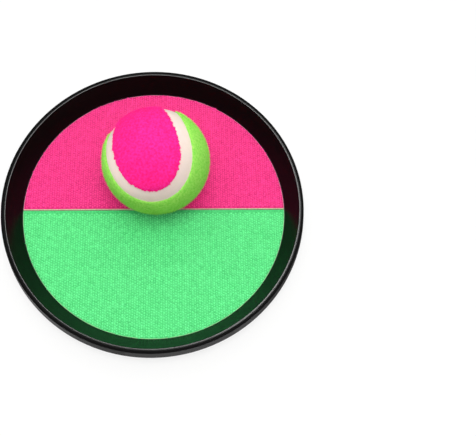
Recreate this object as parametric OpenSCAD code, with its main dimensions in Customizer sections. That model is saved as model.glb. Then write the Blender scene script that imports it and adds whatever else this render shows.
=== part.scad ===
// Hook and loop catch paddle: a moulded dish with a two-tone hook face,
// a hand strap on its back and a felt ball held on the face.
// Millimetres. The face looks up (+Z), the strap lies under the back at Z = 0.

/* [Dish] */
// Outside diameter of the rim at its back edge, where it is widest
edge_d = 186.8; // [186:0.2:192]
// Outside diameter of the rim at its shoulder
rim_d = 185; // [184:0.2:185.6]
// Inside diameter of the rim at its top
mouth_d = 178.8; // [178:0.2:179]
// Diameter of the seat that the hook fabric lies in
seat_d = 164; // [158:0.5:164]
// Height of the rim above the hook fabric
rim_h = 12; // [10:0.2:13]
// Depth of the rim's back edge below its top
edge_drop = 9.4; // [8.6:0.2:10]
// Height of the upright strip along that edge
edge_h = 1.6; // [1:0.2:3]
// Thickness of the floor in the middle
floor_t = 3.9; // [3.6:0.1:4.6]
// Width of the groove between the rim's back edge and the wall
groove_w = 1; // [0.8:0.1:1.4]
// Depth of that groove
groove_h = 4.6; // [2:0.2:5]

/* [Back rings] */
// Diameter at which the flat back ends and the wall starts
back_d = 147.2; // [144:0.2:149]
// Number of steps between the middle of the back and the wall
ring_count = 3; // [1:1:4]
// Distance from one step to the next
ring_pitch = 4.95; // [4:0.05:6]
// Height of one step
ring_step = 0.35; // [0.2:0.05:0.4]

/* [Strap windows] */
// Distance of the strap's centre line from the middle of the dish
strap_x = 18.2; // [0:0.2:20]
// Distance of each bar from the middle of the dish
bar_y = 56.5; // [54:0.5:58]
// Diameter of the bars
bar_d = 3; // [2.6:0.1:3.2]
// Width of the windows
window_w = 27.5; // [26.5:0.5:30]
// Length of each window across its bar
window_l = 18; // [17:0.5:19]
// Width of the raised frame beside a window
frame_w = 2.5; // [1.6:0.1:3]
// How much narrower the frame is past the bar, on each side
frame_in = 0.9; // [0:0.1:1]
// Height of the frame above the middle of the back
frame_h = 1; // [0.6:0.1:1.4]

/* [Hook face] */
// Diameter of the hook fabric
fabric_d = 163.4; // [157:0.2:163.4]
// Thickness of the hook fabric
fabric_t = 1.4; // [1:0.1:2]
// Thickness of the adhesive under it
film_t = 0.2; // [0.1:0.05:0.3]
// Gap between the two halves
seam_gap = 0.3; // [0.1:0.1:0.6]

/* [Strap] */
// Width of the webbing
strap_w = 25.4; // [24:0.2:26]
// Thickness of the webbing
strap_t = 1.2; // [1:0.1:1.3]
// Thickness of the hook patch and of the loop patch
patch_t = 0.4; // [0.3:0.1:0.6]
// Width of the patches
patch_w = 22; // [18:0.5:24]
// How far the flap reaches past the middle of the dish
flap_end = 46; // [40:0.5:47]
// Where the flap starts to peel, on the other side of the middle
peel_start = 10; // [0:1:16]
// Length of the hook patch
hook_l = 44; // [30:1:50]

/* [Ball] */
// Outside diameter of the ball over its felt
ball_d = 64; // [62:0.5:68]
// Thickness of the felt
felt_t = 1; // [0.8:0.1:1.6]
// Thickness of the ball's rubber wall
core_t = 3.2; // [2:0.2:5]
// Width of the bare band between the two felts
band_w = 8.7; // [6:0.1:10]
// Where the ball touches the face, across the strap
ball_x = 1.8; // [-10:0.1:10]
// Where the ball touches the face, up the pink half
ball_y = 19; // [10:0.2:40]

/* [Hidden] */
$fn = 96;

// Colours
black_plastic = "#2c2a2b";
black_webbing = "#302e30";
pink = "#f8468f";
green = "#6ee98c";
ivory = "#ded6c4";

// The strap's layers, from its outer face up to the back of the dish
peel_gap = 0.2;
strap_clear = 0.35;
hook_z = strap_t;
loop_z = hook_z + patch_t + peel_gap;
base_z = loop_z + patch_t;
back_z = base_z + strap_t + strap_clear;

// Heights of the dish
floor_z = back_z + floor_t;
fabric_z = floor_z + film_t;
face_z = fabric_z + fabric_t;
rim_z = face_z + rim_h;
edge_z = rim_z - edge_drop;
crease_z = back_z + ring_count * ring_step;

// Radii of the dish
edge_r = edge_d / 2;
rim_r = rim_d / 2;
mouth_r = mouth_d / 2;
seat_r = seat_d / 2;
back_r = back_d / 2;
groove_out_r = mouth_r + groove_w / 2;
groove_in_r = mouth_r - groove_w / 2;

// Roundings of the rim: inner edge, crest, shoulder, back edge
rim_in_round = 0.5;
crest_round = 4.8;
shoulder_round = 0.6;
edge_round = 0.5;

// The crest stands just outside the mouth and falls softly to the shoulder,
// below which the rim flares to its back edge
crest_r = mouth_r + 0.9;
crest_fall = asin((rim_r - shoulder_round - crest_r) / (crest_round - shoulder_round));
crest_c = [crest_r, rim_z - crest_round];
shoulder_c = crest_c + (crest_round - shoulder_round) * [sin(crest_fall), cos(crest_fall)];
flare = atan((edge_r - rim_r) / (shoulder_c[1] - edge_z - edge_h));

// The ring around a bar: inside and outside radius of the wound webbing
wind_clear = 0.15;
wind_in_r = bar_d / 2 + wind_clear;
wind_out_r = wind_in_r + strap_t;
bar_z = floor_z - 0.05 - wind_out_r;

// Where the flat strap ends and its bends into the windows start
bend_y = 44.3;
strap_gap = 0.3;
window_in_y = bar_y - window_l / 2;

// Ball
ball_r = ball_d / 2;
core_r = ball_r - felt_t;
// the felt's lining is made of flat facets, which stay clear of the round core
felt_clear = 0.12;
ball_gap = 0.15;
ball_turn = [-84.3, -56.4, 9.7];

function arc(c, r, a0, a1, n) = [
    for (i = [0 : n])
    let (a = a0 + (a1 - a0) * i / n)
    [c[0] + r * cos(a), c[1] + r * sin(a)]
];

function bezier(p0, p1, p2, p3, n) = [
    for (i = [0 : n])
    let (t = i / n, s = 1 - t)
    s * s * s * p0 + 3 * s * s * t * p1 + 3 * s * t * t * p2 + t * t * t * p3
];

// Convex wall of the back, from the groove in to the flat part
wall_start = [back_r, crease_z];
wall_end = [groove_in_r, edge_z - 0.1];
wall_start_slope = 9;
wall_end_slope = 72;
wall = bezier(
    wall_end,
    wall_end - 5.2 * [cos(wall_end_slope), sin(wall_end_slope)],
    wall_start + 8 * [cos(wall_start_slope), sin(wall_start_slope)],
    wall_start,
    14
);

// One step of the back: a tread whose edge drops a little, then the riser
ring_edge = 0.9;
ring_riser = 0.15;
function ring_at(k) = let (
    r = back_r - k * ring_pitch,
    z = crease_z - k * ring_step
) [
    [r + ring_riser, z + ring_step],
    [r, z + 0.2 * ring_step],
    [r - ring_edge, z]
];

rings = [for (k = [1 : ring_count]) each ring_at(k)];

// Half section of the dish: floor, sloped wall, rim, groove, wall, rings
dish_section = concat(
    [[0, floor_z], [seat_r, floor_z], [seat_r, face_z - 0.2]],
    arc([mouth_r + rim_in_round, rim_z - rim_in_round], rim_in_round, 165, 90, 4),
    arc(crest_c, crest_round, 90, 90 - crest_fall * 3 / 4, 3),
    arc(shoulder_c, shoulder_round, 90 - crest_fall, flare, 5),
    [[edge_r, edge_z + edge_h]],
    arc([edge_r - edge_round, edge_z + edge_round], edge_round, 0, -90, 4),
    [
        [groove_out_r, edge_z],
        [groove_out_r, edge_z + groove_h],
        [groove_in_r, edge_z + groove_h]
    ],
    wall,
    rings,
    [[0, back_z]]
);

module rounded(w, l, r) {
    square([w - 2 * r, l], center = true);
    square([w, l - 2 * r], center = true);
    for (x = [-1, 1], y = [-1, 1])
        translate([x * (w / 2 - r), y * (l / 2 - r)])
            circle(r = r, $fn = 32);
}

// Draws a shape given in Y and Z, as wide as the strap or as w
module across(w = strap_w) {
    translate([strap_x - w / 2, 0, 0])
        rotate([90, 0, 90])
            linear_extrude(w)
                children();
}

// Raised frame of one window, open towards the middle, narrower past the bar
module frame_outline() {
    wide = window_w + 2 * frame_w;
    narrow = wide - 2 * frame_in;
    near_l = window_l / 2 + frame_w;
    translate([0, -window_l / 2 + near_l / 2])
        rounded(wide, near_l, 2);
    translate([0, frame_w / 2])
        rounded(narrow, window_l + frame_w, 2);
}

module window_frame() {
    translate([0, 0, back_z - frame_h])
        linear_extrude(floor_z - 1 - back_z + frame_h)
            frame_outline();
}

module window_hole() {
    translate([0, 0, back_z - frame_h - 1])
        linear_extrude(floor_t + frame_h + 2)
            rounded(window_w, window_l, 1.2);
    // the strap's way in over the inner edge has no frame
    translate([-window_w / 2, -window_l / 2 - frame_w, back_z - frame_h - 1])
        cube([window_w, 2 * frame_w, frame_h + 1]);
}

// Both ends of the strap have the same window, turned half a turn
module at_windows() {
    translate([strap_x, bar_y, 0])
        children();
    translate([strap_x, -bar_y, 0])
        rotate([0, 0, 180])
            children();
}

module dish() {
    color(black_plastic) {
        difference() {
            union() {
                rotate_extrude($fn = 180)
                    polygon(dish_section);
                at_windows()
                    window_frame();
            }
            at_windows()
                window_hole();
        }
        at_windows()
            translate([-window_w / 2 - 1, 0, bar_z])
                rotate([0, 90, 0])
                    cylinder(d = bar_d, h = window_w + 2, $fn = 48);
    }
}

module adhesive_film() {
    color("#d8d6cf", 0.5)
        translate([0, 0, floor_z])
            cylinder(d = fabric_d, h = film_t, $fn = 180);
}

// Half a disc of hook fabric; side is 1 for the pink half and -1 for the green
module hook_half(side) {
    translate([0, 0, fabric_z])
        intersection() {
            cylinder(d = fabric_d, h = fabric_t, $fn = 180);
            translate([-fabric_d / 2, side > 0 ? seam_gap / 2 : -fabric_d, -1])
                cube([fabric_d, fabric_d - seam_gap / 2, fabric_t + 2]);
        }
}

module hook_face_pink() {
    color(pink)
        hook_half(1);
}

module hook_face_green() {
    color(green)
        hook_half(-1);
}

// Sewn loop round the bar under the pink half, with its tail to the flat strap
module strap_fixed_loop() {
    tail_y = window_in_y - 0.3;
    ring_y = bar_y - 1.9;
    color(black_webbing)
        across()
            difference() {
                union() {
                    translate([bar_y, bar_z])
                        circle(r = wind_out_r, $fn = 64);
                    polygon([
                        [bend_y, base_z],
                        [tail_y, base_z],
                        [ring_y, bar_z - 0.5],
                        [ring_y, bar_z + 0.9],
                        [tail_y - 0.2, base_z + strap_t],
                        [bend_y, base_z + strap_t]
                    ]);
                }
                translate([bar_y, bar_z])
                    circle(r = wind_in_r, $fn = 64);
            }
}

// Turn round the bar under the green half: the flat strap comes in from
// below, winds half round the bar and leaves as the outer layer
module strap_turn_loop() {
    tail_y = window_in_y - 0.3;
    cut = 0.9;
    cut_y = bar_y - cut;
    out_h = sqrt(pow(wind_out_r, 2) - pow(cut, 2));
    in_h = sqrt(pow(wind_in_r, 2) - pow(cut, 2));
    outer_z = hook_z - strap_t + patch_t + peel_gap;
    color(black_webbing)
        mirror([0, 1, 0])
            across() {
                intersection() {
                    translate([bar_y, bar_z])
                        difference() {
                            circle(r = wind_out_r, $fn = 64);
                            circle(r = wind_in_r, $fn = 64);
                        }
                    translate([cut_y, bar_z - wind_out_r])
                        square([2 * wind_out_r, 2 * wind_out_r]);
                }
                polygon([
                    [bend_y, base_z],
                    [tail_y, base_z],
                    [cut_y + 0.1, bar_z + in_h],
                    [cut_y + 0.1, bar_z + out_h],
                    [tail_y + 0.1, base_z + strap_t],
                    [bend_y, base_z + strap_t]
                ]);
                polygon([
                    [bend_y, outer_z],
                    [cut_y + 0.1, bar_z - out_h],
                    [cut_y + 0.1, bar_z - in_h],
                    [bend_y, outer_z + strap_t]
                ]);
            }
}

// Flat layer against the back of the dish, between the two bends
module strap_base() {
    l = 2 * (bend_y - strap_gap);
    color(black_webbing)
        translate([strap_x - strap_w / 2, -l / 2, base_z])
            cube([strap_w, l, strap_t]);
}

// Loop patch sewn on that layer's outer face
module strap_loop_patch() {
    l = 2 * (bend_y - strap_gap);
    color("#262427")
        translate([strap_x - patch_w / 2, -l / 2, loop_z])
            cube([patch_w, l, patch_t]);
}

// Start of the outer layer, from the turn to where the flap peels off
module strap_outer() {
    start_y = -bend_y + strap_gap;
    end_y = -peel_start - 2.8;
    rise = patch_t + peel_gap;
    color(black_webbing)
        across()
            polygon([
                [start_y, rise],
                [end_y, 0],
                [end_y, strap_t],
                [start_y, rise + strap_t]
            ]);
}

// Flap with a round nose at its peel line and a square cut end
module strap_flap() {
    color(black_webbing)
        across() {
            translate([-peel_start, strap_t / 2])
                circle(d = strap_t, $fn = 32);
            translate([-peel_start, 0])
                square([flap_end + peel_start, strap_t]);
        }
}

// Hook patch on the flap's inner face
module strap_hook_patch() {
    color("#1e1c1e")
        translate([strap_x - patch_w / 2, flap_end - 2 - hook_l, hook_z])
            cube([patch_w, hook_l, patch_t]);
}

// Seam of the ball: a closed curve on the unit sphere that divides it into
// two like halves. seam_b sets how far it swings to either side.
seam_b = 0.25;
seam_a = 1 - seam_b;
seam_c = 2 * sqrt(seam_a * seam_b);
function seam(t) = [
    seam_a * cos(t) + seam_b * cos(3 * t),
    seam_a * sin(t) - seam_b * sin(3 * t),
    seam_c * sin(2 * t)
];
function unit(v) = v / norm(v);

// Edge of a felt: the seam, moved in by half the band
band_half = band_w / 2 / ball_r * 180 / PI;
function felt_edge(t) = let (
    p = seam(t),
    along = seam(t + 0.5) - seam(t - 0.5),
    inward = unit(cross(p, along))
) unit(p * cos(band_half) + inward * sin(band_half));

// The felt is symmetric about the plane through its two ends
end_dir = [-sin(45), cos(45), 0];
side_dir = [cos(45), sin(45), 0];
function other_side(p) = p - 2 * (p * side_dir) * side_dir;
function other_end(p) = p - 2 * (p * end_dir) * end_dir;

// Rows run across the felt, from one end to the other
felt_rows = 22;
felt_steps = 16;
tip = 3;
function felt_row(i) = let (
    q = felt_edge(45 + (90 - tip) * abs(i) / felt_rows),
    p = i < 0 ? other_end(q) : q
) [
    for (j = [0 : felt_steps])
    let (s = j / felt_steps)
    unit(p * (1 - s) + other_side(p) * s + sag(p, s))
];
// Keeps a row on the felt's own side of the ball where its ends lie far apart
function sag(p, s) = let (
    mid = unit(p + other_side(p)),
    w = acos(max(-1, min(1, p * mid)))
) 4 * s * (1 - s) * mid * (1 - cos(w));

module felt() {
    n = felt_steps + 1;
    rows = 2 * felt_rows + 1;
    grid = [for (i = [-felt_rows : felt_rows]) each felt_row(i)];
    m = len(grid);
    points = concat(grid * ball_r, grid * (core_r + felt_clear));
    skin = [
        for (i = [0 : rows - 2], j = [0 : n - 2])
        let (a = i * n + j)
        each [[a, a + 1, a + n], [a + 1, a + n + 1, a + n]]
    ];
    lining = [for (f = skin) [f[0] + m, f[2] + m, f[1] + m]];
    edge = concat(
        [for (j = [0 : n - 1]) j],
        [for (i = [1 : rows - 1]) i * n + n - 1],
        [for (j = [n - 2 : -1 : 0]) (rows - 1) * n + j],
        [for (i = [rows - 2 : -1 : 1]) i * n]
    );
    wall_faces = [
        for (k = [0 : len(edge) - 1])
        let (a = edge[k], b = edge[(k + 1) % len(edge)])
        each [[b, a, a + m], [b, a + m, b + m]]
    ];
    polyhedron(points, concat(skin, lining, wall_faces));
}

// Places a ball piece, given about the ball's own centre
module on_ball() {
    translate([ball_x, ball_y, face_z + ball_gap + ball_r])
        rotate(ball_turn)
            children();
}

module ball_core() {
    color(ivory)
        on_ball()
            difference() {
                sphere(r = core_r);
                sphere(r = core_r - core_t);
            }
}

module ball_felt_pink() {
    color(pink)
        on_ball()
            felt();
}

module ball_felt_green() {
    color(green)
        on_ball()
            rotate([180, 0, 0])
                felt();
}

dish();
adhesive_film();
hook_face_pink();
hook_face_green();
strap_fixed_loop();
strap_turn_loop();
strap_base();
strap_loop_patch();
strap_outer();
strap_flap();
strap_hook_patch();
ball_core();
ball_felt_pink();
ball_felt_green();
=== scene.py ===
import bpy
import bmesh
import math
import numpy as np
from mathutils import Euler, Matrix, Vector, noise
from mathutils.kdtree import KDTree


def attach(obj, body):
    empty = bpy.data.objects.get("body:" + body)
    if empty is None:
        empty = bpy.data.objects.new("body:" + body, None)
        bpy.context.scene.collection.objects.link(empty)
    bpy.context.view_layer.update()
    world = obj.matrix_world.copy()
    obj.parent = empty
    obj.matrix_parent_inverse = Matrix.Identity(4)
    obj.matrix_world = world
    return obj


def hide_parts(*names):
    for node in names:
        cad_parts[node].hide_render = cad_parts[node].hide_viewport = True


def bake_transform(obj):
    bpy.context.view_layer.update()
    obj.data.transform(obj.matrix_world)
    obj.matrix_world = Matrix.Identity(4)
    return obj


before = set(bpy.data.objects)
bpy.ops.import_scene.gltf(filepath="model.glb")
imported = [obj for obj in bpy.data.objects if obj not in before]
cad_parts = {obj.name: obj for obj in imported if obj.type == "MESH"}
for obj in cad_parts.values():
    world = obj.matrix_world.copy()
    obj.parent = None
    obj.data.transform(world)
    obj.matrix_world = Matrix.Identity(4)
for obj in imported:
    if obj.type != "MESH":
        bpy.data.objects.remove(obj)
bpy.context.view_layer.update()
mm = 0.001
chance = np.random.default_rng(11)
print("frame loaded:", ", ".join(sorted(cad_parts)))


# Helpers for selection, modifiers and meshes; points are read and put in millimetres

def deselectAll():
    if bpy.context.object and bpy.context.object.mode != "OBJECT":
        bpy.ops.object.mode_set(mode="OBJECT")
    bpy.ops.object.select_all(action="DESELECT")


def selectOnly(piece):
    deselectAll()
    piece.select_set(True)
    bpy.context.view_layer.objects.active = piece


def nameIt(piece, name):
    piece.name = name
    piece.data.name = name
    return piece


def applyModifier(piece, kind, **settings):
    selectOnly(piece)
    modifier = piece.modifiers.new(kind.title(), kind)
    for key, value in settings.items():
        setattr(modifier, key, value)
    bpy.ops.object.modifier_apply(modifier=modifier.name)


def arrayOut(piece, count, step):
    applyModifier(piece, "ARRAY", count=count, use_relative_offset=False, use_constant_offset=True,
                  constant_offset_displace=tuple(v * mm for v in step))


def joinPieces(first, *others):
    deselectAll()
    for piece in (first,) + others:
        piece.select_set(True)
    bpy.context.view_layer.objects.active = first
    bpy.ops.object.join()
    return first


def pointsOf(piece):
    flat = np.zeros(len(piece.data.vertices) * 3)
    piece.data.vertices.foreach_get("co", flat)
    return flat.reshape(-1, 3) / mm


def putPoints(piece, points):
    piece.data.vertices.foreach_set("co", (points * mm).astype(np.float32).ravel())
    piece.data.update()


def deletePoints(piece, gone):
    selectOnly(piece)
    bpy.ops.object.mode_set(mode="EDIT")
    mesh = bmesh.from_edit_mesh(piece.data)
    mesh.select_mode = {"VERT"}
    bpy.ops.mesh.select_all(action="DESELECT")
    for vertex in mesh.verts:
        vertex.select = bool(gone[vertex.index])
    mesh.select_flush_mode()
    bmesh.update_edit_mesh(piece.data)
    bpy.ops.mesh.delete(type="VERT")
    bpy.ops.object.mode_set(mode="OBJECT")


def smoothShade(piece, degrees):
    selectOnly(piece)
    bpy.ops.object.shade_smooth_by_angle(angle=math.radians(degrees))


def pointValues(piece, name, values):
    layer = piece.data.attributes.new(name, "FLOAT", "POINT")
    layer.data.foreach_set("value", np.asarray(values, np.float32))


def smoothStep(low, high, x):
    t = np.clip((x - low) / (high - low), 0, 1)
    return t * t * (3 - 2 * t)


def unit(ways):
    return ways / np.linalg.norm(ways, axis=1)[:, None]


# Materials

def linear(hexText):
    parts = [int(hexText[i:i + 2], 16) / 255 for i in (1, 3, 5)]
    return [c / 12.92 if c <= 0.04045 else ((c + 0.055) / 1.055) ** 2.4 for c in parts] + [1.0]


def addNode(mat, kind, sockets=None, **settings):
    node = mat.node_tree.nodes.new("ShaderNode" + kind)
    for key, value in settings.items():
        setattr(node, key, value)
    for key, value in (sockets or {}).items():
        if isinstance(value, bpy.types.NodeSocket):
            mat.node_tree.links.new(value, node.inputs[key])
        else:
            node.inputs[key].default_value = value
    return node


def newMaterial(name, sockets):
    mat = bpy.data.materials.new(name)
    mat.use_nodes = True
    mat.node_tree.nodes.clear()
    shader = addNode(mat, "BsdfPrincipled", sockets)
    addNode(mat, "OutputMaterial", {"Surface": shader.outputs[0]})
    return mat, shader


def join(mat, output, node, socket):
    mat.node_tree.links.new(output, node.inputs[socket])


def dress(piece, *mats):
    piece.data.materials.clear()
    for mat in mats:
        piece.data.materials.append(mat)


# Black polypropylene, injection moulded: glossy in front, so that the wall mirrors the fabric, dull on the
# rim's outer flank, and satin on the back, with a fine grain and faint scuffs
dishLook = {"front": "#070707", "back": "#302e2f", "scuff": "#454243",
            "frontRough": 0.2, "backRough": 0.4, "flankRough": 0.65, "unevenRough": 0.05,
            "wallFoot": (82.0, 8.9), "wallTop": (88.9, 12.2), "flankFrom": 92.2, "fadeMm": 0.3,
            "scuffMm": 7.0, "scuffSpan": (0.52, 0.78), "scuffShare": 0.18,
            "grainMm": 0.4, "grainDeepMm": 0.006}


def polypropylene():
    look = dishLook
    mat, shader = newMaterial("blackPolypropyleneMoulded", {"IOR": 1.49, "Specular IOR Level": 0.12})
    place = addNode(mat, "TexCoord").outputs["Object"]
    axes = addNode(mat, "SeparateXYZ", {0: place})
    flat = addNode(mat, "VectorMath", {0: place, 1: (1, 1, 0)}, operation="MULTIPLY")
    radius = addNode(mat, "VectorMath", {0: flat.outputs[0]}, operation="LENGTH")
    # the front is all that lies above a cone from the wall's foot to its top
    cone = addNode(mat, "MapRange", {0: radius.outputs["Value"],
                                     1: look["wallFoot"][0] * mm, 2: look["wallTop"][0] * mm,
                                     3: look["wallFoot"][1] * mm, 4: look["wallTop"][1] * mm})
    over = addNode(mat, "Math", {0: axes.outputs[2], 1: cone.outputs[0]}, operation="SUBTRACT")
    front = addNode(mat, "MapRange", {0: over.outputs[0], 1: 0.0, 2: look["fadeMm"] * mm})
    scuffs = addNode(mat, "TexNoise", {"Vector": place, "Scale": 1 / (look["scuffMm"] * mm), "Detail": 6.0,
                                       "Roughness": 0.62})
    worn = addNode(mat, "MapRange", {0: scuffs.outputs[0], 1: look["scuffSpan"][0], 2: look["scuffSpan"][1],
                                     3: 0.0, 4: look["scuffShare"]})
    satin = addNode(mat, "Mix", {"Factor": worn.outputs[0], 6: linear(look["back"]),
                                 7: linear(look["scuff"])}, data_type="RGBA")
    colour = addNode(mat, "Mix", {"Factor": front.outputs[0], 6: satin.outputs[2],
                                  7: linear(look["front"])}, data_type="RGBA")
    flank = addNode(mat, "MapRange", {0: radius.outputs["Value"], 1: look["flankFrom"] * mm,
                                      2: (look["flankFrom"] + look["fadeMm"]) * mm,
                                      3: look["frontRough"], 4: look["flankRough"]})
    rough = addNode(mat, "Mix", {0: front.outputs[0], 2: look["backRough"], 3: flank.outputs[0]})
    uneven = addNode(mat, "Math", {0: scuffs.outputs[0], 1: look["unevenRough"], 2: rough.outputs[0]},
                     operation="MULTIPLY_ADD")
    grain = addNode(mat, "TexNoise", {"Vector": place, "Scale": 1 / (look["grainMm"] * mm), "Detail": 2.0})
    relief = addNode(mat, "Math", {0: 1.0, 1: front.outputs[0]}, operation="SUBTRACT")
    bump = addNode(mat, "Bump", {"Height": grain.outputs[0], "Strength": relief.outputs[0],
                                 "Distance": look["grainDeepMm"] * mm})
    join(mat, colour.outputs[2], shader, "Base Color")
    join(mat, uneven.outputs[0], shader, "Roughness")
    join(mat, bump.outputs[0], shader, "Normal")
    return mat


# Clear acrylic adhesive, cast thin: lets the back of the fabric show in the windows
adhesiveLook = {"colour": "#f2efe6", "cover": 0.15, "rippleMm": 2.5, "rippleDeepMm": 0.1}


def clearAdhesive():
    look = adhesiveLook
    mat, shader = newMaterial("clearAcrylicAdhesive", {"Base Color": linear(look["colour"]),
                                                       "Alpha": look["cover"], "Roughness": 0.25,
                                                       "IOR": 1.47})
    place = addNode(mat, "TexCoord").outputs["Object"]
    ripple = addNode(mat, "TexNoise", {"Vector": place, "Scale": 1 / (look["rippleMm"] * mm), "Detail": 2.0})
    bump = addNode(mat, "Bump", {"Height": ripple.outputs[0], "Strength": 0.3,
                                 "Distance": look["rippleDeepMm"] * mm})
    join(mat, bump.outputs[0], shader, "Normal")
    return mat


# Woven nylon ground of the hook fabric, dyed fluorescent: soft ribs, drawn coarser than real threads so that
# they show, and a mottle where the dye took unevenly
groundLook = {"mottleMm": 0.9, "mottleSpan": (0.3, 0.7), "waveMm": 7.2, "ribDeepMm": 0.08}


def hookGround(name, bright, deep):
    look = groundLook
    mat, shader = newMaterial(name, {"Roughness": 0.75, "Specular IOR Level": 0.1})
    place = addNode(mat, "TexCoord").outputs["Object"]
    mottle = addNode(mat, "TexNoise", {"Vector": place, "Scale": 1 / (look["mottleMm"] * mm), "Detail": 3.0})
    share = addNode(mat, "MapRange", {0: mottle.outputs[0],
                                      1: look["mottleSpan"][0], 2: look["mottleSpan"][1]})
    colour = addNode(mat, "Mix", {"Factor": share.outputs[0], 6: linear(deep), 7: linear(bright)},
                     data_type="RGBA")
    # a wave texture has just over three ribs to one length of its scale
    ribs = addNode(mat, "TexWave", {"Vector": place, "Scale": 1 / (look["waveMm"] * mm), "Distortion": 1.5,
                                    "Detail": 1.0}, bands_direction="Y")
    bump = addNode(mat, "Bump", {"Height": ribs.outputs[1], "Strength": 0.4,
                                 "Distance": look["ribDeepMm"] * mm})
    join(mat, colour.outputs[2], shader, "Base Color")
    join(mat, bump.outputs[0], shader, "Normal")
    return mat


# Nylon monofilament hooks, napped and heat set: a thread with a faint gloss, coloured by height, with painted
# shade low down and painted light at its top
def hookThread(name, low, tip):
    mat, shader = newMaterial(name, {"Roughness": 0.5, "IOR": 1.53, "Specular IOR Level": 0.05})
    rise = addNode(mat, "Attribute", attribute_name="rise")
    colour = addNode(mat, "Mix", {"Factor": rise.outputs["Fac"], 6: linear(low), 7: linear(tip)},
                     data_type="RGBA")
    join(mat, colour.outputs[2], shader, "Base Color")
    return mat


# Cut edge of the fabric: the undyed ground shows, pale and frayed. The sealed selvedge at the seam takes the
# same mix in the seam's colours: a dimmed cream on the pink half and a dark green on the green half, painted
# shade along the seam
edgeLook = {"frayMm": 0.6, "fraySpan": (0.35, 0.62)}


def cutEdge(name, pale, dyed):
    look = edgeLook
    mat, shader = newMaterial(name, {"Roughness": 0.85, "Specular IOR Level": 0.2})
    place = addNode(mat, "TexCoord").outputs["Object"]
    fray = addNode(mat, "TexNoise", {"Vector": place, "Scale": 1 / (look["frayMm"] * mm), "Detail": 2.0})
    share = addNode(mat, "MapRange", {0: fray.outputs[0], 1: look["fraySpan"][0], 2: look["fraySpan"][1]})
    colour = addNode(mat, "Mix", {"Factor": share.outputs[0], 6: linear(dyed), 7: linear(pale)},
                     data_type="RGBA")
    join(mat, colour.outputs[2], shader, "Base Color")
    return mat


# Polyester webbing, woven in herringbone: painted shade darkens the hollows between threads, and the threads
# are lighter where they stand up
webbingLook = {"hollowShade": "#080708", "thread": "#363436", "span": (0.15, 1.1),
               "fibreMm": 0.25, "fibreShare": 0.35, "fibreDeepMm": 0.06}


def webbing():
    look = webbingLook
    mat, shader = newMaterial("blackWebbingHollowShade", {"Roughness": 0.5, "Sheen Weight": 0.12,
                                                        "Sheen Roughness": 0.4})
    weave = addNode(mat, "Attribute", attribute_name="weave")
    place = addNode(mat, "TexCoord").outputs["Object"]
    fibre = addNode(mat, "TexNoise", {"Vector": place, "Scale": 1 / (look["fibreMm"] * mm), "Detail": 2.0})
    worn = addNode(mat, "Math", {0: fibre.outputs[0], 1: look["fibreShare"], 2: weave.outputs["Fac"]},
                   operation="MULTIPLY_ADD")
    share = addNode(mat, "MapRange", {0: worn.outputs[0], 1: look["span"][0], 2: look["span"][1]})
    colour = addNode(mat, "Mix", {"Factor": share.outputs[0], 6: linear(look["hollowShade"]),
                                  7: linear(look["thread"])}, data_type="RGBA")
    bump = addNode(mat, "Bump", {"Height": fibre.outputs[0], "Strength": 0.35,
                                 "Distance": look["fibreDeepMm"] * mm})
    join(mat, colour.outputs[2], shader, "Base Color")
    join(mat, bump.outputs[0], shader, "Normal")
    return mat


# Nylon loop pile, brushed, and nylon hook tape, woven: both black, the pile dull and the tape with some gloss
pileLook = {"tuftMm": 0.8, "low": "#0a090a", "loops": "#232123", "hooks": "#1d1b1d",
            "loopRough": 0.9, "hookRough": 0.45}


def blackPile(name, high, rough):
    look = pileLook
    mat, shader = newMaterial(name, {"Roughness": rough, "Sheen Weight": 0.3})
    place = addNode(mat, "TexCoord").outputs["Object"]
    tufts = addNode(mat, "TexNoise", {"Vector": place, "Scale": 1 / (look["tuftMm"] * mm), "Detail": 3.0})
    colour = addNode(mat, "Mix", {"Factor": tufts.outputs[0], 6: linear(look["low"]), 7: linear(high)},
                     data_type="RGBA")
    join(mat, colour.outputs[2], shader, "Base Color")
    return mat


# Bonded polyester thread: twisted, so it glints along each stitch
threadLook = {"low": "#141314", "high": "#343234", "twistMm": 0.2}


def thread():
    look = threadLook
    mat, shader = newMaterial("blackBondedThread", {"Roughness": 0.38, "Specular IOR Level": 0.6})
    place = addNode(mat, "TexCoord").outputs["Object"]
    twist = addNode(mat, "TexNoise", {"Vector": place, "Scale": 1 / (look["twistMm"] * mm), "Detail": 1.0})
    colour = addNode(mat, "Mix", {"Factor": twist.outputs[0], 6: linear(look["low"]),
                                  7: linear(look["high"])}, data_type="RGBA")
    join(mat, colour.outputs[2], shader, "Base Color")
    return mat


# Natural rubber, compression moulded: ivory, smooth, a soft sheen and faint mottling
rubberLook = {"low": "#e2d0c5", "high": "#f2ded5", "mottleMm": 4.0, "poreMm": 0.35, "poreDeepMm": 0.04,
              "glowMm": 1.2, "glowReach": (1.0, 0.7, 0.45)}


def ivoryRubber():
    look = rubberLook
    mat, shader = newMaterial("ivoryRubberMoulded", {"Roughness": 0.6, "IOR": 1.52,
                                                     "Specular IOR Level": 0.15, "Subsurface Weight": 0.15,
                                                     "Subsurface Radius": look["glowReach"],
                                                     "Subsurface Scale": look["glowMm"] * mm})
    place = addNode(mat, "TexCoord").outputs["Object"]
    mottle = addNode(mat, "TexNoise", {"Vector": place, "Scale": 1 / (look["mottleMm"] * mm), "Detail": 4.0})
    colour = addNode(mat, "Mix", {"Factor": mottle.outputs[0], 6: linear(look["low"]),
                                  7: linear(look["high"])}, data_type="RGBA")
    pores = addNode(mat, "TexNoise", {"Vector": place, "Scale": 1 / (look["poreMm"] * mm), "Detail": 2.0})
    bump = addNode(mat, "Bump", {"Height": pores.outputs[0], "Strength": 0.15,
                                 "Distance": look["poreDeepMm"] * mm})
    join(mat, colour.outputs[2], shader, "Base Color")
    join(mat, bump.outputs[0], shader, "Normal")
    return mat


# Brushed nylon felt, dyed fluorescent: dull all over, with small tufts that take more and less of the dye
feltLook = {"tuftMm": 1.3, "tuftSpan": (0.35, 0.62), "tuftDeepMm": 0.25}


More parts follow.
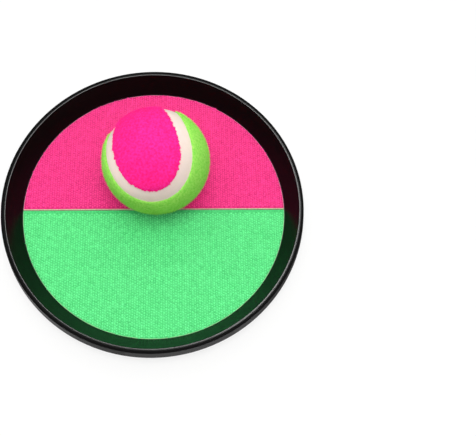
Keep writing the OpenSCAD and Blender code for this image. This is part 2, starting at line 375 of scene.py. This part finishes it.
def brushedFelt(name, bright, deep):
    look = feltLook
    mat, shader = newMaterial(name, {"Roughness": 0.9, "Specular IOR Level": 0.1})
    place = addNode(mat, "TexCoord").outputs["Object"]
    tufts = addNode(mat, "TexNoise", {"Vector": place, "Scale": 1 / (look["tuftMm"] * mm), "Detail": 4.0,
                                      "Roughness": 0.6})
    share = addNode(mat, "MapRange", {0: tufts.outputs[0], 1: look["tuftSpan"][0], 2: look["tuftSpan"][1]})
    colour = addNode(mat, "Mix", {"Factor": share.outputs[0], 6: linear(deep), 7: linear(bright)},
                     data_type="RGBA")
    bump = addNode(mat, "Bump", {"Height": tufts.outputs[0], "Strength": 0.5,
                                 "Distance": look["tuftDeepMm"] * mm})
    join(mat, colour.outputs[2], shader, "Base Color")
    join(mat, bump.outputs[0], shader, "Normal")
    return mat


# Camera, at the photograph's viewing point; its three axes are right, up and back
cameraFit = {"place": (21.87, -161.75, 441.3), "right": (0.99782, -0.028, 0.05965),
             "up": (0.00609, 0.94059, 0.33949), "back": (-0.06561, -0.33839, 0.93872),
             "focalPixels": 729, "widthPixels": 476, "sensorMm": 36, "clip": (0.01, 20)}

deselectAll()
bpy.ops.object.camera_add()
camera = bpy.context.object
camera.name = "photoCamera"
camera.matrix_world = Matrix.Translation(Vector(cameraFit["place"]) * mm) @ Matrix(
    (cameraFit["right"], cameraFit["up"], cameraFit["back"])).transposed().to_4x4()
camera.data.sensor_fit = "HORIZONTAL"
camera.data.sensor_width = cameraFit["sensorMm"]
camera.data.lens = cameraFit["focalPixels"] / cameraFit["widthPixels"] * cameraFit["sensorMm"]
camera.data.clip_start, camera.data.clip_end = cameraFit["clip"]
bpy.context.scene.camera = camera

# Studio: a soft box above and a little in front, a wide dim ceiling set back, and a low side lamp that rakes
# along the underside. The two glints show only as shine, one on the rim's crest and one on its outer flank
lamps = {
    "keySoftBox": {"place": (0.05, -0.2, 1.25), "size": 0.7, "power": 10.6, "lights": True, "shines": False},
    "rimGlint": {"place": (0.06, 0.38, 1.2), "size": 0.42, "power": 32.0, "lights": False, "shines": True},
    "dimCeiling": {"place": (0.0, 0.6, 1.5), "size": 4.0, "power": 50.0, "lights": True, "shines": False},
    "underGlint": {"place": (0.1, -0.5, -0.7), "size": 0.6, "power": 10.5, "lights": False, "shines": True},
    "sideLamp": {"place": (-0.75, -0.3, -0.42), "size": 0.4, "power": 11.0, "lights": True, "shines": True},
}
studio = {"aim": (0, 0, 0.02), "white": "#ffffff", "roomLight": 0.16, "mirrored": 0.3,
          "paper": "#828281", "paperLift": (0.74, 1.0), "liftReach": (0.3, 1.6), "floorDropMm": 0.3,
          "floorWide": 8.0}


def softBox(name, settings):
    deselectAll()
    bpy.ops.object.light_add(type="AREA", location=settings["place"])
    lamp = bpy.context.object
    lamp.name = name
    lamp.data.size = settings["size"]
    lamp.data.energy = settings["power"]
    toObject = Vector(studio["aim"]) - Vector(settings["place"])
    lamp.rotation_euler = toObject.to_track_quat("-Z", "Y").to_euler()
    lamp.visible_diffuse = settings["lights"]
    lamp.visible_glossy = settings["shines"]


for lampName, lampSettings in lamps.items():
    softBox(lampName, lampSettings)


# 1 for the rays that show a background straight or through something clear, less for those that mirror it
def backgroundRays(mat):
    rays = addNode(mat, "LightPath")
    seen = addNode(mat, "Math", {0: rays.outputs["Is Camera Ray"], 1: rays.outputs["Is Transmission Ray"]},
                   operation="MAXIMUM")
    shown = addNode(mat, "Math", {0: rays.outputs["Is Glossy Ray"], 1: studio["mirrored"],
                                  2: seen.outputs[0]}, operation="MULTIPLY_ADD")
    return shown.outputs[0], rays.outputs["Is Shadow Ray"]


room = bpy.data.worlds.new("whiteRoom")
room.use_nodes = True
room.node_tree.nodes.clear()
dimRoom = addNode(room, "Background", {"Color": linear(studio["white"]), "Strength": studio["roomLight"]})
whiteRoom = addNode(room, "Background", {"Color": linear(studio["white"]), "Strength": 1.0})
roomMix = addNode(room, "MixShader", {0: backgroundRays(room)[0], 1: dimRoom.outputs[0],
                                      2: whiteRoom.outputs[0]})
addNode(room, "OutputWorld", {"Surface": roomMix.outputs[0]})
bpy.context.scene.world = room
bpy.context.scene.view_settings.view_transform = "Standard"


# White floor: seen from above it keeps the shadow, from below it lets the back of the paddle show
def floorPaper():
    mat = bpy.data.materials.new("whitePaperFloor")
    mat.use_nodes = True
    mat.node_tree.nodes.clear()
    shown, shadow = backgroundRays(mat)
    face = addNode(mat, "NewGeometry")
    paper = addNode(mat, "BsdfDiffuse", {"Color": linear(studio["paper"])})
    place = addNode(mat, "TexCoord").outputs["Object"]
    away = addNode(mat, "VectorMath", {0: place}, operation="LENGTH")
    glow = addNode(mat, "MapRange", {0: away.outputs["Value"],
                                     1: studio["liftReach"][0], 2: studio["liftReach"][1],
                                     3: studio["paperLift"][0], 4: studio["paperLift"][1]})
    lift = addNode(mat, "Emission", {"Color": linear(studio["white"]), "Strength": glow.outputs[0]})
    both = addNode(mat, "AddShader", {0: paper.outputs[0], 1: lift.outputs[0]})
    bright = addNode(mat, "MixShader", {0: shown, 1: paper.outputs[0], 2: both.outputs[0]})
    through = addNode(mat, "Math", {0: face.outputs["Backfacing"], 1: shadow}, operation="MAXIMUM")
    clear = addNode(mat, "BsdfTransparent")
    mixed = addNode(mat, "MixShader", {0: through.outputs[0], 1: bright.outputs[0], 2: clear.outputs[0]})
    addNode(mat, "OutputMaterial", {"Surface": mixed.outputs[0]})
    return mat


deselectAll()
bpy.ops.mesh.primitive_plane_add(size=studio["floorWide"], location=(0, 0, -studio["floorDropMm"] * mm))
floor = nameIt(bpy.context.object, "floorPaper")
dress(floor, floorPaper())
print("camera, lights and floor are up")


# Dish, adhesive and ball core keep their CAD shape
dress(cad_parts["dish"], polypropylene())
dress(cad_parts["adhesive_film"], clearAdhesive())
dress(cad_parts["ball_core"], ivoryRubber())
print("dish, adhesive and core have their materials")


# Hook fabric: a half disc of woven ground, with hooks in staggered columns along Y
hookFace = {"radius": 81.7, "corners": 288, "gap": 0.3, "foot": 7.85, "groundThick": 0.98, "edgeBevel": 0.4,
            "edgeFree": 0.6, "columnPitch": 1.45, "hookPitch": 1.6, "flatTop": 0.98}
# deep and dark are darker than the dye (bright): painted shade on the ground between the hooks and at the
# hooks' feet; tip, lighter than the dye, is painted light on the hooks' tops
fabrics = {
    "Pink": {"side": 1, "seamFree": 2.15, "selvedge": 0.15, "bright": "#f83994", "deep": "#e4287c",
             "dark": "#bc1f5c", "tip": "#fc459a", "edge": "#e8a0b4", "seam": ("#d2cbae", "#c0a48a"),
             "node": "hook_face_pink", "slot": "hook_fabric_pink"},
    "Green": {"side": -1, "seamFree": 2.9, "selvedge": 0.05, "bright": "#72e58e", "deep": "#52d27c",
              "dark": "#38ae5b", "tip": "#70ec99", "edge": "#a6dc9e", "seam": ("#58b874", "#3f9f5e"),
              "node": "hook_face_green", "slot": "hook_fabric_green"},
}


# how far the bare selvedge reaches from the middle of the dish
def selvedgeReach(kind):
    return (hookFace["gap"] / 2 + hookFace["edgeBevel"] + fabrics[kind]["selvedge"]) * mm


def fabricHalf(kind):
    h, side = hookFace, fabrics[kind]["side"]
    deselectAll()
    bpy.ops.mesh.primitive_circle_add(vertices=h["corners"], radius=h["radius"] * mm, fill_type="NGON",
                                      location=(0, 0, h["foot"] * mm))
    piece = nameIt(bpy.context.object, "hookFabric" + kind)
    bpy.ops.object.transform_apply(location=True, rotation=True, scale=True)
    bpy.ops.object.mode_set(mode="EDIT")
    bpy.ops.mesh.select_all(action="SELECT")
    bpy.ops.mesh.bisect(plane_co=(0, side * h["gap"] / 2 * mm, 0), plane_no=(0, -side, 0), clear_outer=True)
    bpy.ops.mesh.select_all(action="SELECT")
    bpy.ops.mesh.extrude_region_move(TRANSFORM_OT_translate={"value": (0, 0, h["groundThick"] * mm)})
    bpy.ops.mesh.select_all(action="SELECT")
    bpy.ops.mesh.normals_make_consistent(inside=False)
    # the upper edges are rounded, then a cut marks off the selvedge
    top, touching = (h["foot"] + h["groundThick"]) * mm, 0.001 * mm
    bpy.ops.mesh.select_mode(type="EDGE")
    bpy.ops.mesh.select_all(action="DESELECT")
    mesh = bmesh.from_edit_mesh(piece.data)
    for line in mesh.edges:
        line.select_set(all(abs(v.co.z - top) < touching for v in line.verts))
    bmesh.update_edit_mesh(piece.data)
    bpy.ops.mesh.bevel(offset=h["edgeBevel"] * mm, segments=2, affect="EDGES")
    bpy.ops.mesh.select_all(action="SELECT")
    bpy.ops.mesh.bisect(plane_co=(0, side * selvedgeReach(kind), 0), plane_no=(0, 1, 0))
    bpy.ops.object.mode_set(mode="OBJECT")
    return piece


# One hook and the float of the weave that it grows from, both coarser than real ones, so that they show
hook = {"wide": 0.42, "tall": 0.12, "curl": 0.28, "curlDegrees": 165, "curlSteps": 3, "tip": 0.55,
        "floatWide": 1.32, "floatLong": 1.4, "floatTall": 0.14}


def oneHook():
    h = hook
    deselectAll()
    bpy.ops.mesh.primitive_plane_add(size=mm, location=(0, 0, 0))
    piece = nameIt(bpy.context.object, "hook")
    bpy.ops.object.mode_set(mode="EDIT")
    bpy.ops.mesh.select_all(action="SELECT")
    bpy.ops.transform.resize(value=(h["floatWide"], h["floatLong"], 1))
    bpy.ops.mesh.extrude_region_move(TRANSFORM_OT_translate={"value": (0, 0, h["floatTall"] * mm)})
    bpy.ops.transform.resize(value=(h["wide"] / h["floatWide"], h["wide"] / h["floatLong"], 1))
    bpy.ops.mesh.extrude_region_move(TRANSFORM_OT_translate={"value": (0, 0, h["tall"] * mm)})
    bpy.ops.mesh.spin(steps=h["curlSteps"], angle=math.radians(h["curlDegrees"]), axis=(1, 0, 0),
                      center=(0, h["curl"] * mm, (h["floatTall"] + h["tall"]) * mm))
    bpy.ops.transform.resize(value=(h["tip"],) * 3)
    bpy.ops.mesh.select_all(action="SELECT")
    bpy.ops.mesh.normals_make_consistent(inside=False)
    bpy.ops.object.mode_set(mode="OBJECT")
    return piece


# Hooks stand in columns; every other column starts half a step later and curls the other way
hookSpread = {"shift": (0.05, 0.07), "turn": 0.3, "growth": 0.08, "lean": 0.2,
              "hollowShade": 0.48, "speckle": 0.07}


def hookField(name, columns, rows, start, foot, size, kept):
    h, columnStep, rowStep = hookSpread, hookFace["columnPitch"], hookFace["hookPitch"]
    piece = nameIt(oneHook(), name)
    single = pointsOf(piece) * size
    arrayOut(piece, rows, (0, rowStep, 0))
    arrayOut(piece, columns, (columnStep, 0, 0))
    column, row = (a.ravel() for a in np.meshgrid(np.arange(columns), np.arange(rows), indexing="ij"))
    count, odd = columns * rows, column % 2
    x = (column - (columns - 1) / 2) * columnStep + chance.normal(0, h["shift"][0], count)
    y = start + (row + 0.5 * odd) * rowStep + chance.normal(0, h["shift"][1], count)
    turn = math.pi * odd + chance.normal(0, h["turn"], count)
    grow = 1 + chance.normal(0, h["growth"], count)
    lean = chance.normal(0, h["lean"], (count, 2))
    c, s = np.cos(turn)[:, None], np.sin(turn)[:, None]
    local = single[None] * grow[:, None, None]
    px = local[:, :, 0] * c - local[:, :, 1] * s + local[:, :, 2] * lean[:, :1]
    py = local[:, :, 0] * s + local[:, :, 1] * c + local[:, :, 2] * lean[:, 1:]
    points = np.stack([px + x[:, None], py + y[:, None], local[:, :, 2] + foot], axis=2)
    putPoints(piece, points.reshape(-1, 3))
    # colour: painted shade, darker in the hollows, and painted light, brighter up the hook, with a tone that
    # differs a little from hook to hook
    height = np.sqrt(np.clip(single[None, :, 2] / single[:, 2].max(), 0, 1))
    rise = h["hollowShade"] + (1 - h["hollowShade"]) * height + chance.normal(0, h["speckle"], count)[:, None]
    pointValues(piece, "rise", np.clip(rise, 0, 1).ravel())
    deletePoints(piece, np.repeat(~kept(x, y), len(single)))
    return piece


def hookFabric(kind):
    h, f = hookFace, fabrics[kind]
    ground = fabricHalf(kind)
    # the ground takes the deep and dark colours, not the dye: painted shade, as it lies low between the hooks
    dress(ground, hookGround("dyedNylonGroundInShade" + kind, f["deep"], f["dark"]),
          cutEdge("cutNylonEdge" + kind, f["edge"], f["bright"]),
          cutEdge("sealedSelvedgeSeamShade" + kind, *f["seam"]))
    bare = selvedgeReach(kind)
    # faces by the seam take the selvedge material, with its painted shade along the seam
    for face in ground.data.polygons:
        isTop = abs(face.normal.z) > h["flatTop"]
        face.material_index = 2 if abs(face.center.y) < bare else 0 if isTop else 1
    reach = h["radius"] - h["edgeFree"]
    field = hookField("hooks" + kind, 2 * int(reach / h["columnPitch"]) + 1, int(reach / h["hookPitch"]) + 1,
                      f["seamFree"], h["foot"] + h["groundThick"], 1.0, lambda x, y: np.hypot(x, y) < reach)
    points = pointsOf(field)
    points[:, :2] *= f["side"]
    putPoints(field, points)
    dress(field, hookThread("nylonHooksPaintedLightAndShade" + kind, f["dark"], f["tip"]))
    for piece in (ground, field):
        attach(piece, "paddle")
    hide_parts(f["node"])
    print("hook fabric", kind, len(field.data.polygons), "faces of hooks")


hookFabric("Pink")
hookFabric("Green")


# Ball: two like felts that meet along a saddle seam, with a bare band of the core between them
ball = {"radius": 31.7, "core": 31.0, "centre": (1.8, 19.0, 41.4), "turn": (-84.3, -56.4, 9.7),
        "band": 8.5, "swing": 0.25, "cut": 7, "edgeHigh": 0.4, "edgeRound": 1.5, "thick": 0.35,
        "lumps": 0.1, "lumpMm": 2.2}
felts = {
    "Pink": {"side": 1, "ragged": 1.1, "raggedMm": 1.4, "lean": 1.6,
             "bright": "#ff2e9e", "deep": "#f91778", "node": "ball_felt_pink", "slot": "felt_pink"},
    "Green": {"side": -1, "ragged": 0.15, "raggedMm": 0.9, "lean": 0.7,
              "bright": "#b0ee6c", "deep": "#86e050", "node": "ball_felt_green", "slot": "felt_green"},
}
ballTurn = np.array(Euler([math.radians(a) for a in ball["turn"]]).to_matrix())


# points of the seam on a ball of radius 1, and the way across it towards the pink felt
def seamLine(count=2400):
    t = np.linspace(0, 2 * math.pi, count, endpoint=False)
    b = ball["swing"]
    a, c = 1 - b, 2 * math.sqrt(b * (1 - b))
    spot = np.stack([a * np.cos(t) + b * np.cos(3 * t), a * np.sin(t) - b * np.sin(3 * t),
                     c * np.sin(2 * t)], 1)
    along = np.stack([-a * np.sin(t) - 3 * b * np.sin(3 * t), a * np.cos(t) - 3 * b * np.cos(3 * t),
                      2 * c * np.cos(2 * t)], 1)
    return spot, unit(np.cross(spot, along))


seamSpots, seamInward = seamLine()
seamTree = KDTree(len(seamSpots))
for number, spot in enumerate(seamSpots):
    seamTree.insert(spot, number)
seamTree.balance()


# how far a direction lies from the seam, in millimetres on the ball, and the way across the seam there
def fromSeam(directions):
    nearest = np.array([seamTree.find(d)[1] for d in directions])
    inward = seamInward[nearest]
    return np.arcsin(np.clip((directions * inward).sum(1), -1, 1)) * ball["radius"], inward


def lumpsAt(directions, size):
    return np.array([noise.noise(Vector(d) * (ball["radius"] / size)) for d in directions])


def feltSkin(kind):
    b, f = ball, felts[kind]
    deselectAll()
    bpy.ops.mesh.primitive_ico_sphere_add(subdivisions=b["cut"], radius=mm)
    piece = nameIt(bpy.context.object, "felt" + kind)
    ways = unit(pointsOf(piece))
    far, inward = fromSeam(ways)
    inside = f["side"] * far - b["band"] / 2 + f["ragged"] * lumpsAt(ways, f["raggedMm"])
    # points within half a triangle of the felt's edge move onto it, so that the edge is a clean line
    squareOverArea = 2.31  # an even triangle's side, squared, over its area
    step = math.sqrt(4 * math.pi * b["radius"] ** 2 / len(piece.data.polygons) * squareOverArea)
    near = np.abs(inside) < step / 2
    ways[near] -= f["side"] * inward[near] * (inside[near] / b["radius"])[:, None]
    ways = unit(ways)
    inside[near] = 0
    crown = np.sqrt(np.clip(inside / b["edgeRound"], 0, 1))
    high = b["edgeHigh"] + (b["radius"] - b["core"] - b["edgeHigh"]) * crown
    high += b["lumps"] * lumpsAt(ways, b["lumpMm"])
    putPoints(piece, ways * (b["core"] + high)[:, None])
    deletePoints(piece, inside < 0)
    applyModifier(piece, "SOLIDIFY", thickness=b["thick"] * mm, offset=-1.0)
    putPoints(piece, pointsOf(piece) @ ballTurn.T + b["centre"])
    smoothShade(piece, 70)
    return piece


# Brushed fibres: three-sided needles rooted in the felt, which lean out over the band along its edge;
# they are thicker than real fibres, so that they show
fibre = {"count": 30000, "long": (0.5, 1.35), "wide": 0.09, "wideShare": (0.7, 1.2), "corners": (0, 2.1, 4.2),
         "sunk": 0.15, "spread": 0.75, "leastRise": 0.12, "leanReach": (0.2, 2.0)}


def feltFuzz(felt, kind):
    b, f, n = ball, felts[kind], fibre["count"]
    # roots, spread evenly over the outer triangles of the felt
    points = pointsOf(felt)
    felt.data.calc_loop_triangles()
    corners = np.zeros(len(felt.data.loop_triangles) * 3, np.int32)
    felt.data.loop_triangles.foreach_get("vertices", corners)
    a, c, d = points[corners.reshape(-1, 3)].transpose(1, 0, 2)
    cross = np.cross(c - a, d - a)
    outer = (cross * ((a + c + d) / 3 - b["centre"])).sum(1) > 0
    a, c, d, cross = a[outer], c[outer], d[outer], cross[outer]
    area = np.linalg.norm(cross, axis=1)
    pick = chance.choice(len(area), n, p=area / area.sum())
    u, v = np.sort(chance.random((2, n)), axis=0)
    root = a[pick] * u[:, None] + c[pick] * (v - u)[:, None] + d[pick] * (1 - v)[:, None]
    out = cross[pick] / area[pick][:, None]
    # each needle's way: outwards, scattered, leaning over the edge, and never into the felt
    far, inward = fromSeam(unit((root - b["centre"]) @ ballTurn / b["radius"]))
    edge = 1 - smoothStep(*fibre["leanReach"], f["side"] * far - b["band"] / 2)
    lean = f["side"] * f["lean"] * edge[:, None] * (inward @ ballTurn.T)
    grain = unit(out + fibre["spread"] * chance.normal(0, 1, out.shape) - lean)
    grain += np.maximum(fibre["leastRise"] - (grain * out).sum(1), 0)[:, None] * out
    long = chance.uniform(*fibre["long"], n)
    across = unit(np.cross(grain, chance.normal(0, 1, grain.shape)))
    other = np.cross(grain, across)
    wide = fibre["wide"] * chance.uniform(*fibre["wideShare"], n)[:, None] / 2
    sunk = root - fibre["sunk"] * out
    ring = [sunk + wide * (math.cos(t) * across + math.sin(t) * other) for t in fibre["corners"]]
    spots = np.stack(ring + [root + grain * long[:, None]], axis=1).reshape(-1, 3)
    first = np.arange(n)[:, None] * 4
    faces = np.concatenate([first + [0, 1, 3], first + [1, 2, 3], first + [2, 0, 3], first + [2, 1, 0]])
    mesh = bpy.data.meshes.new("fuzz" + kind)
    mesh.from_pydata((spots * mm).tolist(), [], faces.tolist())
    fuzz = bpy.data.objects.new("fuzz" + kind, mesh)
    bpy.context.scene.collection.objects.link(fuzz)
    return fuzz


def dressFelt(kind):
    f = felts[kind]
    felt = feltSkin(kind)
    fuzz = feltFuzz(felt, kind)
    look = brushedFelt("brushedNylonFelt" + kind, f["bright"], f["deep"])
    for piece in (felt, fuzz):
        dress(piece, look)
        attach(piece, "ball")
    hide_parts(f["node"])
    print("felt", kind, len(felt.data.polygons), "faces, fuzz", len(fuzz.data.polygons))


dressFelt("Pink")
dressFelt("Green")


# Hand strap: one length of webbing from its sewn end round the bar under the pink half, along the back,
# round the other bar and back over itself as the flap. Its path is drawn in Y and Z
strap = {"x": 18.2, "wide": 25.4, "thick": 1.16, "relief": 0.13, "cell": 0.3,
         "barY": 56.5, "barZ": 4.75, "wind": 2.25, "pinkArc": (-100, 115), "greenArc": (115, -84),
         "tuck": (50.8, 3.4), "baseZ": 2.8, "flatY": 44.5, "flapZ": 0.6, "flapStart": -12.0, "flapEnd": 46.0,
         "climb": (0.906, 0.423), "climbEase": 4, "leave": (0.9945, -0.1045), "leaveEase": 14, "flapEase": 16,
         "tuckSteps": 20, "steps": 60, "pathStep": 0.1,
         "cutFade": 0.8, "cutWeave": 0.4, "edgeThin": 0.45, "edgeThinWide": 0.5}


def bezier(p0, p1, p2, p3, count=40):
    t = np.linspace(0, 1, count)[:, None]
    return ((1 - t) ** 3 * np.array(p0) + 3 * (1 - t) ** 2 * t * np.array(p1)
            + 3 * (1 - t) * t ** 2 * np.array(p2) + t ** 3 * np.array(p3))


def roundBar(side, arc):
    k = strap
    a = np.radians(np.linspace(*arc, k["steps"]))
    return np.stack([side * (k["barY"] + k["wind"] * np.cos(a)), k["barZ"] + k["wind"] * np.sin(a)], 1)


def strapPath():
    k = strap
    pinkTurn, greenTurn = roundBar(1, k["pinkArc"]), roundBar(-1, k["greenArc"])
    pinkOff, greenOn, greenOff = pinkTurn[-1], greenTurn[0], greenTurn[-1]
    ease, rise = k["climbEase"], k["climbEase"] * np.array(k["climb"])
    flatPink, flatGreen = np.array([k["flatY"], k["baseZ"]]), np.array([-k["flatY"], k["baseZ"]])
    flapStart, flapEnd = (k["flapStart"], k["flapZ"]), (k["flapEnd"], k["flapZ"])
    parts = [np.linspace(k["tuck"], pinkTurn[0], k["tuckSteps"]), pinkTurn,
             bezier(pinkOff, pinkOff - rise, flatPink + (ease, 0), flatPink),
             np.linspace(flatPink, flatGreen, k["steps"]),
             bezier(flatGreen, flatGreen - (ease, 0), greenOn + rise * (1, -1), greenOn), greenTurn,
             bezier(greenOff, greenOff + k["leaveEase"] * np.array(k["leave"]),
                    (k["flapStart"] - k["flapEase"], k["flapZ"]), flapStart),
             np.linspace(flapStart, flapEnd, k["steps"])]
    line = np.concatenate([parts[0]] + [p[1:] for p in parts[1:]])
    gone = np.concatenate([[0], np.cumsum(np.linalg.norm(np.diff(line, axis=0), axis=1))])
    even = np.arange(0, gone[-1], k["pathStep"])
    return np.stack([np.interp(even, gone, line[:, 0]), np.interp(even, gone, line[:, 1])], 1), even


strapLine, strapGone = strapPath()
strapTangent = unit(np.gradient(strapLine, strapGone, axis=0))
strapLong = strapGone[-1]
middleAt = strapGone[np.argmax(strapLine[:, 0] < 0)]
flapAt = strapGone[len(strapLine) - 1 - np.argmax(strapLine[::-1, 0] < strap["flapStart"])]
print("strap length", round(float(strapLong), 1), "mm")


# Weave of the webbing: herringbone columns of slanting ribs, coarser than real ones so that they show,
# between two corded selvedges
weaveForm = {"columnWide": 2.27, "ribPitch": 1.45, "slope": 1.1, "sharp": 0.7,
             "groove": 0.16, "grooveHigh": 0.25, "selvedge": 2.5, "selvedgePitch": 1.0,
             "cordWide": 0.8, "cordHigh": 0.55, "selvedgeHigh": (0.3, 0.55), "fade": 0.15}


# height of the weave at a place on the webbing, 0 in the hollows and 1 on the threads
def weaveAt(x, s):
    w = weaveForm
    inner = strap["wide"] / 2 - w["selvedge"]
    column = np.floor((x + inner) / w["columnWide"])
    across = (x + inner) / w["columnWide"] - column
    way = np.where(column % 2 == 0, 1, -1)
    phase = (s + way * w["slope"] * w["columnWide"] * (across - 0.5)) / w["ribPitch"] + 0.5 * (column % 2)
    rib = 0.5 + 0.5 * np.cos(2 * math.pi * phase)
    between = smoothStep(0, w["groove"], across) * smoothStep(0, w["groove"], 1 - across)
    herring = rib ** w["sharp"] * (w["grooveHigh"] + (1 - w["grooveHigh"]) * between)
    cordPhase = s / w["selvedgePitch"] + 0.5 * np.floor(np.abs(x) / w["cordWide"])
    cord = w["cordHigh"] + (1 - w["cordHigh"]) * np.cos(2 * math.pi * cordPhase)
    edge = smoothStep(inner - w["fade"], inner + w["fade"], np.abs(x))
    return herring * (1 - edge) + edge * (w["selvedgeHigh"][0] + w["selvedgeHigh"][1] * cord)


# a flat grid with two faces, whose places run from -0.5 to 0.5 across and along, and the sign of its faces
def gridSheet(name, acrossCells, alongCells):
    deselectAll()
    bpy.ops.mesh.primitive_grid_add(x_subdivisions=acrossCells, y_subdivisions=alongCells, size=1)
    piece = nameIt(bpy.context.object, name)
    applyModifier(piece, "SOLIDIFY", thickness=mm, offset=0.0)
    flat = pointsOf(piece) * mm
    return piece, flat[:, 0], flat[:, 1], np.where(flat[:, 2] > 0, 1, -1)


def webbingPiece(name, start, end):
    k = strap
    piece, across, along, face = gridSheet(name, int(k["wide"] / k["cell"]), int((end - start) / k["cell"]))
    x = across * k["wide"]
    s = start + (along + 0.5) * (end - start)
    weave = weaveAt(np.where(face > 0, x, -x), s)
    cut = smoothStep(0, k["cutFade"], strapLong - s)
    weave = weave * cut + k["cutWeave"] * (1 - cut)
    border = smoothStep(k["wide"] / 2 - k["edgeThinWide"], k["wide"] / 2, np.abs(x))
    half = k["thick"] / 2 * (1 - k["edgeThin"] * border ** 2)
    high = face * (half - k["relief"] * (1 - weave))
    y, z = np.interp(s, strapGone, strapLine[:, 0]), np.interp(s, strapGone, strapLine[:, 1])
    ty, tz = np.interp(s, strapGone, strapTangent[:, 0]), np.interp(s, strapGone, strapTangent[:, 1])
    putPoints(piece, np.stack([k["x"] + x, y - tz * high, z + ty * high], 1))
    # the weave's height also colours the webbing: painted shade in its hollows
    pointValues(piece, "weave", weave)
    selectOnly(piece)
    bpy.ops.object.mode_set(mode="EDIT")
    bpy.ops.mesh.select_all(action="SELECT")
    bpy.ops.mesh.normals_make_consistent(inside=False)
    bpy.ops.object.mode_set(mode="OBJECT")
    smoothShade(piece, 60)
    dress(piece, strapWebbing)
    print("webbing", name, len(piece.data.polygons), "faces")
    return piece


strapWebbing = webbing()
fixedEnd = webbingPiece("strapFixedEnd", 0, middleAt)
turnEnd = webbingPiece("strapTurn", middleAt, flapAt)
flap = webbingPiece("strapFlap", flapAt, strapLong)


def bend(piece):
    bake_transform(piece)


bend(fixedEnd)
bend(turnEnd)
bend(flap)
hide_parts("strap_fixed_loop", "strap_base")
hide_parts("strap_turn_loop", "strap_outer")
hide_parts("strap_flap")


# Loop pile on the strap's flat layer, in two lengths, and hook tape in the flap
patch = {"wide": 22.0, "long": 44.0, "cell": 0.5, "loopLow": 1.82, "loopTop": 2.24, "loopRough": 0.25,
         "tapeLow": 1.18, "tapeThick": 0.16, "hookSize": 0.42, "hookReach": 10.2, "hookFrom": 1.0,
         "hookSunk": 0.02}


def pileSheet(name, yFrom, yTo, low, high, rough):
    p = patch
    piece, across, along, face = gridSheet(name, int(p["wide"] / p["cell"]), int((yTo - yFrom) / p["cell"]))
    points = np.stack([strap["x"] + across * p["wide"], yFrom + (along + 0.5) * (yTo - yFrom),
                       np.where(face > 0, high, low)], 1)
    under = face < 0
    points[under, 2] += rough * chance.random(under.sum())
    putPoints(piece, points)
    smoothShade(piece, 60)
    return piece


pileBlack = blackPile("blackLoopPile", pileLook["loops"], pileLook["loopRough"])
for name, yFrom, part in (("loopPileFixed", 0.0, "fixed"), ("loopPileTurn", -patch["long"], "turn")):
    pile = pileSheet(name, yFrom, yFrom + patch["long"], patch["loopLow"], patch["loopTop"],
                     patch["loopRough"])
    dress(pile, pileBlack)
    bend(pile)
    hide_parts("strap_loop_patch")

tapeTop = patch["tapeLow"] + patch["tapeThick"]
tape = pileSheet("hookTapeGround", 0.0, patch["long"], patch["tapeLow"], tapeTop, 0.0)
tapeHooks = hookField("hookTapeHooks", int(patch["wide"] / hookFace["columnPitch"]) - 1,
                      int(patch["long"] / hookFace["hookPitch"]) - 1, patch["hookFrom"],
                      tapeTop - patch["hookSunk"], patch["hookSize"],
                      lambda x, y: np.abs(x) < patch["hookReach"])
putPoints(tapeHooks, pointsOf(tapeHooks) + (strap["x"], 0, 0))
tapeBlack = blackPile("blackHookTape", pileLook["hooks"], pileLook["hookRough"])
for piece in (tape, tapeHooks):
    dress(piece, tapeBlack)
    bend(piece)
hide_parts("strap_hook_patch")


# Lock stitches: one stitch is modelled, each row is an array of it. Rows along the strap hold the tape's
# sides to the flap, rows across hold its two ends, and two more rows across close the strap's sewn end
stitch = {"long": 2.3, "pitch": 3.1, "thick": 0.34, "bevel": 0.1, "corners": 8,
          "alongCount": 14, "alongX": (-9.8, 9.8), "alongFrom": (1.9, 0.05),
          "acrossCount": 7, "acrossX": -9.3, "tapeEnds": ((0.7, 0.05), (43.2, 0.05)),
          "sewnEnd": ((52.2, 2.62), (53.8, 2.36))}


def stitchRow(count, start, step, turn):
    t = stitch
    deselectAll()
    bpy.ops.mesh.primitive_cylinder_add(vertices=t["corners"], radius=t["thick"] / 2 * mm,
                                        depth=t["long"] * mm, rotation=turn,
                                        location=tuple(v * mm for v in start))
    row = nameIt(bpy.context.object, "stitchRow")
    bpy.ops.object.transform_apply(location=True, rotation=True, scale=True)
    applyModifier(row, "BEVEL", width=t["bevel"] * mm, segments=2, limit_method="ANGLE")
    arrayOut(row, count, step)
    return row


def alongRow(x):
    start = (strap["x"] + x,) + stitch["alongFrom"]
    return stitchRow(stitch["alongCount"], start, (0, stitch["pitch"], 0), (math.pi / 2, 0, 0))


def acrossRow(place):
    start = (strap["x"] + stitch["acrossX"],) + place
    return stitchRow(stitch["acrossCount"], start, (stitch["pitch"], 0, 0), (0, math.pi / 2, 0))


def stitches(name, rows):
    piece = nameIt(joinPieces(*rows), name)
    smoothShade(piece, 50)
    dress(piece, bondedThread)
    return piece


bondedThread = thread()
flapStitches = stitches("flapStitches", [alongRow(x) for x in stitch["alongX"]]
                        + [acrossRow(place) for place in stitch["tapeEnds"]])
bend(flapStitches)
endStitches = stitches("sewnEndStitches", [acrossRow(place) for place in stitch["sewnEnd"]])
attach(endStitches, "paddle")
print("strap, patches and stitches done")
